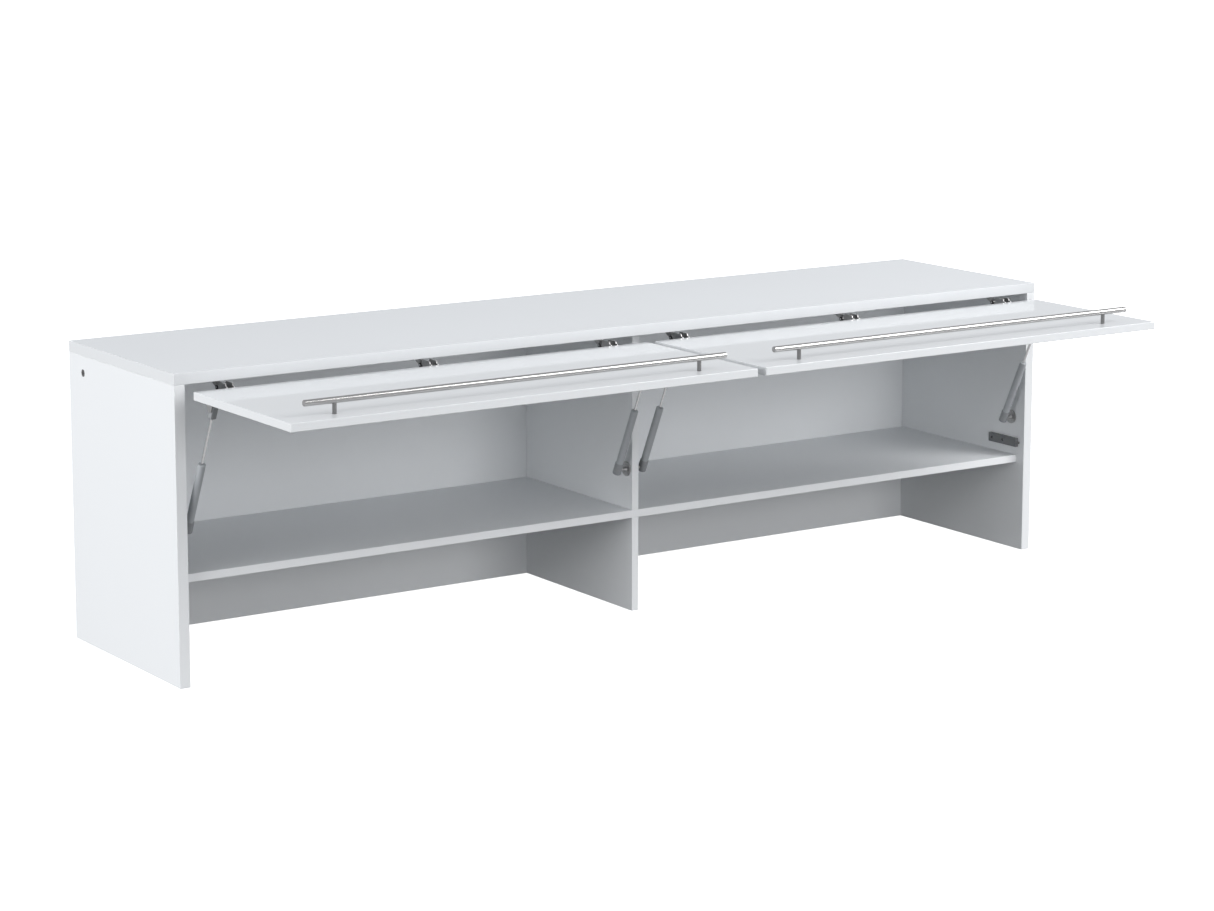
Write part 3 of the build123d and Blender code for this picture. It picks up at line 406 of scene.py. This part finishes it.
def islands(mesh_data):
    """The corner points of each separate solid in a mesh."""
    work = bmesh.new()
    work.from_mesh(mesh_data)
    bmesh.ops.remove_doubles(work, verts=work.verts, dist=WELD_GAP)
    waiting = set(work.verts)
    found = []
    while waiting:
        group = {waiting.pop()}
        edge_of_search = list(group)
        while edge_of_search:
            corner = edge_of_search.pop()
            near = {edge.other_vert(corner) for edge in corner.link_edges} & waiting
            waiting -= near
            group |= near
            edge_of_search += near
        found.append([corner.co.copy() for corner in group])
    work.free()
    return found


def read_screw(corners):
    """A plain screw's seat, outward direction and sizes, from its corner points."""
    low = [min(c[i] for c in corners) for i in range(3)]
    high = [max(c[i] for c in corners) for i in range(3)]
    run = max(range(3), key=lambda i: high[i] - low[i])
    middle = [(low[i] + high[i]) / 2 for i in range(3)]
    radii = [math.hypot(*(c[i] - middle[i] for i in range(3) if i != run)) for c in corners]
    widest = max(radii)
    rim = [c[run] for c, radius in zip(corners, radii) if radius > widest * RIM_SHARE]
    sign = 1 if sum(rim) / len(rim) > middle[run] else -1
    top = high[run] if sign > 0 else low[run]
    seat = min(rim) if sign > 0 else max(rim)
    neck = min(r for c, r in zip(corners, radii) if abs(c[run] - seat) < SEAT_TOLERANCE)
    place = Vector(middle)
    place[run] = seat
    out = Vector((0.0, 0.0, 0.0))
    out[run] = sign
    return place, out, {
        "Head Radius": widest, "Head Height": abs(top - seat), "Shank Radius": neck,
        "Length": high[run] - low[run] - abs(top - seat),
    }


# %% The screw tree
HEAD_CORNERS = 28
SHANK_CORNERS = 16
DOME_FALL = 0.45  # how far the rim sinks, as a share of the head's height
RECESS_LONG, RECESS_SHORT = 1.1, 0.24  # the bars of the cross, in head radii
RECESS_HEIGHT = 1.3  # in head heights; half of it stands clear above the head
CORE = 0.84  # the shank under its thread, in shank radii
TIP_LENGTH, TIP_END = 2.0, 0.1  # in shank radii
THREAD_DEPTH = 0.15  # in shank radii
THREADED = 0.9  # the share of the straight shank that carries thread
PITCH = 0.8  # in shank radii


class Tree:
    """A Geometry Nodes tree in the making; node() adds a node, its settings and its inputs."""

    def __init__(self, name, sizes):
        self.group = bpy.data.node_groups.new(name, "GeometryNodeTree")
        sockets = self.group.interface
        sockets.new_socket("Geometry", in_out="INPUT", socket_type="NodeSocketGeometry")
        for size in sizes:
            sockets.new_socket(size, in_out="INPUT", socket_type="NodeSocketFloat")
        sockets.new_socket("Finish", in_out="INPUT", socket_type="NodeSocketMaterial")
        sockets.new_socket("Geometry", in_out="OUTPUT", socket_type="NodeSocketGeometry")
        self.inputs = self.group.nodes.new("NodeGroupInput").outputs
        self.end = self.group.nodes.new("NodeGroupOutput")

    def size(self, name):
        return Value(self.group, self.inputs[name])

    def node(self, kind, settings=None, inputs=None, output=0):
        made = self.group.nodes.new(kind)
        for key, value in (settings or {}).items():
            setattr(made, key, value)
        for key, value in (inputs or {}).items():
            for item in value if isinstance(value, list) else [value]:
                feed(self.group, made.inputs[key], item)
        return Value(self.group, made.outputs[output])

    def vector(self, x=0.0, y=0.0, z=0.0):
        return self.node("ShaderNodeCombineXYZ", None, {"X": x, "Y": y, "Z": z})

    def raised(self, geometry, height):
        shift = self.vector(z=height)
        return self.node("GeometryNodeTransform", None,
                         {"Geometry": geometry, "Translation": shift})


def screw_tree():
    sizes = ["Head Radius", "Head Height", "Shank Radius", "Length", "Pitch"]
    tree = Tree("pan head screws", sizes)
    head_radius, head_height = tree.size("Head Radius"), tree.size("Head Height")
    shank, length, pitch = tree.size("Shank Radius"), tree.size("Length"), tree.size("Pitch")

    # the head: a short cylinder whose upper face sinks towards its rim
    head = tree.raised(tree.node("GeometryNodeMeshCylinder", None, {
        "Vertices": HEAD_CORNERS, "Side Segments": 1, "Fill Segments": 4,
        "Radius": head_radius, "Depth": head_height,
    }), head_height * 0.5)
    place = tree.node("GeometryNodeInputPosition")
    x, y, z = (tree.node("ShaderNodeSeparateXYZ", None, {0: place}, i) for i in range(3))
    outwards = (x * x + y * y) / (head_radius * head_radius)
    upper = z.math("GREATER_THAN", head_height * 0.5)
    head = tree.node("GeometryNodeSetPosition", None, {
        "Geometry": head, "Selection": upper, "Offset": tree.vector(z=outwards * head_height * -DOME_FALL),
    })

    # the cross recess: two bars cut out of it
    bars = []
    for along_x, along_y in ((RECESS_LONG, RECESS_SHORT), (RECESS_SHORT, RECESS_LONG)):
        bar = tree.node("GeometryNodeMeshCube", None, {
            "Size": tree.vector(head_radius * along_x, head_radius * along_y,
                                head_height * RECESS_HEIGHT),
        })
        bars.append(tree.raised(bar, head_height))
    head = tree.node("GeometryNodeMeshBoolean", {"operation": "DIFFERENCE"},
                     {"Mesh 1": head, "Mesh 2": bars})

    # the shank, its point and the thread that winds round it
    core = shank * CORE
    tip = shank * TIP_LENGTH
    straight = length - tip
    stem = tree.raised(tree.node("GeometryNodeMeshCylinder", None, {
        "Vertices": SHANK_CORNERS, "Radius": core, "Depth": straight,
    }), straight * -0.5)
    point = tree.raised(tree.node("GeometryNodeMeshCone", None, {
        "Vertices": SHANK_CORNERS, "Radius Top": core, "Radius Bottom": shank * TIP_END,
        "Depth": tip,
    }), length * -1.0)
    path = tree.node("GeometryNodeCurveSpiral", None, {
        "Resolution": 12, "Rotations": (straight / pitch) * THREADED,
        "Start Radius": core, "End Radius": core, "Height": straight * THREADED,
    })
    section = tree.node("GeometryNodeCurvePrimitiveCircle", None,
                        {"Resolution": 3, "Radius": shank * THREAD_DEPTH})
    thread = tree.raised(tree.node("GeometryNodeCurveToMesh", None, {
        "Curve": path, "Profile Curve": section, "Fill Caps": True,
    }), straight * -0.95)
    screw = tree.node("GeometryNodeJoinGeometry", None, {"Geometry": [thread, point, stem, head]})

    # one on every point, standing outwards
    outward = tree.node("GeometryNodeInputNamedAttribute", {"data_type": "FLOAT_VECTOR"},
                        {"Name": "outward"})
    turn = tree.node("FunctionNodeAlignRotationToVector", {"axis": "Z"}, {"Vector": outward})
    screws = tree.node("GeometryNodeInstanceOnPoints", None, {
        "Points": Value(tree.group, tree.inputs["Geometry"]), "Instance": screw, "Rotation": turn,
    })
    real = tree.node("GeometryNodeRealizeInstances", None, {"Geometry": screws})
    finish = Value(tree.group, tree.inputs["Finish"])
    done = tree.node("GeometryNodeSetMaterial", None, {"Geometry": real, "Material": finish})
    tree.group.links.new(done.socket, tree.end.inputs[0])
    return tree.group


SCREW_TREE = screw_tree()


# %% From points to a plain mesh
def grown(name, points, attributes, tree, values):
    """A plain mesh object that a Geometry Nodes tree grows on points; the modifier is gone."""
    cloud = bpy.data.meshes.new(f"{name}_points")
    cloud.from_pydata(points, [], [])
    for key, vectors in attributes.items():
        layer = cloud.attributes.new(key, "FLOAT_VECTOR", "POINT")
        for index, vector in enumerate(vectors):
            layer.data[index].vector = vector
    seed = bpy.data.objects.new(f"{name}_points", cloud)
    bpy.context.scene.collection.objects.link(seed)
    modifier = seed.modifiers.new("grow", "NODES")
    modifier.node_group = tree
    for item in tree.interface.items_tree:
        if item.in_out == "INPUT" and item.name in values:
            modifier[item.identifier] = values[item.name]
    evaluated = seed.evaluated_get(bpy.context.evaluated_depsgraph_get())
    made = bpy.data.meshes.new_from_object(evaluated)
    seed.modifiers.remove(modifier)
    bpy.data.objects.remove(seed)
    piece = bpy.data.objects.new(name, made)
    bpy.context.scene.collection.objects.link(piece)
    return piece


# %% The screws of each fitting
SCREW_BODIES = {
    "carcass": ["back_panel_screws", "hanger_screws", "hinge_plate_screws", "strut_foot_screws",
                "damper_screws"],
    "left_flap": ["left_handle_screws", "left_hinge_cup_screws", "left_flap_bracket_screws"],
    "right_flap": ["right_handle_screws", "right_hinge_cup_screws", "right_flap_bracket_screws"],
}
screw_count = 0
for body, screw_nodes in SCREW_BODIES.items():
    for node in screw_nodes:
        read = [read_screw(corners) for corners in islands(nodes[node].data)]
        sizes = read[0][2]
        values = {**sizes, "Pitch": sizes["Shank Radius"] * PITCH, "Finish": zinc}
        piece = grown(f"threaded_{node}", [place for place, out, own in read],
                      {"outward": [out for place, out, own in read]}, SCREW_TREE, values)
        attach(piece, body)
        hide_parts(node)
        screw_count += len(read)
        print(node, len(read), {key: round(value / MM, 2) for key, value in sizes.items()},
              "triangles", sum(len(face.vertices) - 2 for face in piece.data.polygons))
print("screws:", screw_count)

# %% [markdown]
# ## A white studio
# White furniture on white paper is drawn only by its shades. A real floor would throw light
# back up into the open bays and flatten them, so this one is lit only for the eye: it glows
# evenly and throws no light on to the boards. What lights them is four softboxes and the air
# itself, which is bright above and dim below. Metal and gloss mirror a pale ground and, of the
# softboxes, only the high right one.

# %% Floor
FLOOR_RADIUS = 60.0
FLOOR_GAP = 0.4 * MM
FLOOR_GLOW = 1.0
FLOOR_CORNERS = 96


def pale_floor():
    finish = Finish("pale studio floor")
    cloud = finish.noise(1.5, 2.0)
    return finish.surface(Base_Color=finish.blend(cloud, grey(0.92), grey(0.93)), Roughness=0.9,
                          Emission_Color=grey(1.0), Emission_Strength=FLOOR_GLOW)


floor_mesh = bpy.data.meshes.new("studio_floor")
ring = []
for corner in range(FLOOR_CORNERS):
    angle = corner * math.tau / FLOOR_CORNERS
    ring.append((FLOOR_RADIUS * math.cos(angle), FLOOR_RADIUS * math.sin(angle), cad_low.z - FLOOR_GAP))
floor_mesh.from_pydata(ring, [], [list(range(FLOOR_CORNERS))])
floor = bpy.data.objects.new("studio_floor", floor_mesh)
floor_mesh.materials.append(pale_floor())
floor.visible_diffuse = False
floor.visible_glossy = False
bpy.context.scene.collection.objects.link(floor)

# %% Softboxes
SOFTBOX_WIDTH = 3.0
LIGHT_AIM = Vector((0.0, 0.0, 0.3))


def softbox(name, place, watts, mirrored=False):
    """A square area light, turned towards the cabinet; its image shows in metal if mirrored."""
    lamp = bpy.data.lights.new(name, "AREA")
    lamp.size = SOFTBOX_WIDTH
    lamp.energy = watts
    holder = bpy.data.objects.new(name, lamp)
    holder.location = place
    away = Vector(place) - LIGHT_AIM
    holder.rotation_euler = away.to_track_quat("Z", "Y").to_euler()
    holder.visible_glossy = mirrored
    bpy.context.scene.collection.objects.link(holder)


softbox("left softbox", (-6.0, 0.4, 1.3), 172.0)
softbox("front left softbox", (-6.0, -2.5, 1.3), 110.0)
softbox("front softbox", (0.8, -6.0, 0.8), 140.0)
softbox("high right softbox", (3.5, -3.5, 3.5), 205.0, mirrored=True)

# %% Air that is bright above and dim below
SKY_LIGHT = 0.60
GROUND_LIGHT = 0.02
MIRRORED_GROUND = 0.72
AIR_TINT = (0.95, 0.97, 1.0, 1.0)
world = bpy.data.worlds.new("studio air")
world.use_nodes = True
air = world.node_tree
direction = air.nodes.new("ShaderNodeTexCoord")
parts = air.nodes.new("ShaderNodeSeparateXYZ")
air.links.new(direction.outputs["Generated"], parts.inputs[0])
upward = Value(air, parts.outputs[2]).math("GREATER_THAN", 0.0)
ray = air.nodes.new("ShaderNodeLightPath")
mirrored = Value(air, ray.outputs["Is Glossy Ray"])
ground_seen = mirrored * (MIRRORED_GROUND - GROUND_LIGHT) + GROUND_LIGHT
strength = upward * SKY_LIGHT + (1 - upward) * ground_seen
feed(air, air.nodes["Background"].inputs["Color"], AIR_TINT)
feed(air, air.nodes["Background"].inputs["Strength"], strength)
bpy.context.scene.world = world
bpy.context.scene.view_settings.view_transform = "Standard"

# %% [markdown]
# ## The camera
# The camera stands at the front left, about a metre above the cabinet, with a long lens from
# almost seven metres away. Part of the framing is done by shifting the lens instead of tipping
# the camera further down, which keeps the uprights close to upright.

# %% Camera
CAMERA_PLACE = Vector((-3.666, -5.5435, 1.6325))
CAMERA_TURN = math.radians(33.967)
CAMERA_DIP = math.radians(9.261)
CAMERA_ROLL = math.radians(0.0585)
LENS_LENGTH = 95.79
LENS_SHIFT = -0.10
camera_data = bpy.data.cameras.new("studio camera")
camera_data.lens = LENS_LENGTH
camera_data.sensor_width = 36.0
camera_data.shift_y = LENS_SHIFT
camera_data.clip_end = 200.0
camera = bpy.data.objects.new("studio camera", camera_data)
look = Vector((
    math.sin(CAMERA_TURN) * math.cos(CAMERA_DIP),
    math.cos(CAMERA_TURN) * math.cos(CAMERA_DIP),
    -math.sin(CAMERA_DIP),
))
aimed = look.to_track_quat("-Z", "Y").to_matrix().to_4x4()
level = Matrix.Rotation(CAMERA_ROLL, 4, "Z")
camera.matrix_world = Matrix.Translation(CAMERA_PLACE) @ aimed @ level
bpy.context.scene.collection.objects.link(camera)
bpy.context.scene.camera = camera
print("camera to the middle of the floor line, m:", round(CAMERA_PLACE.length, 2))

# %% Print the size of the frame
print("cad box", cad_low, cad_high)
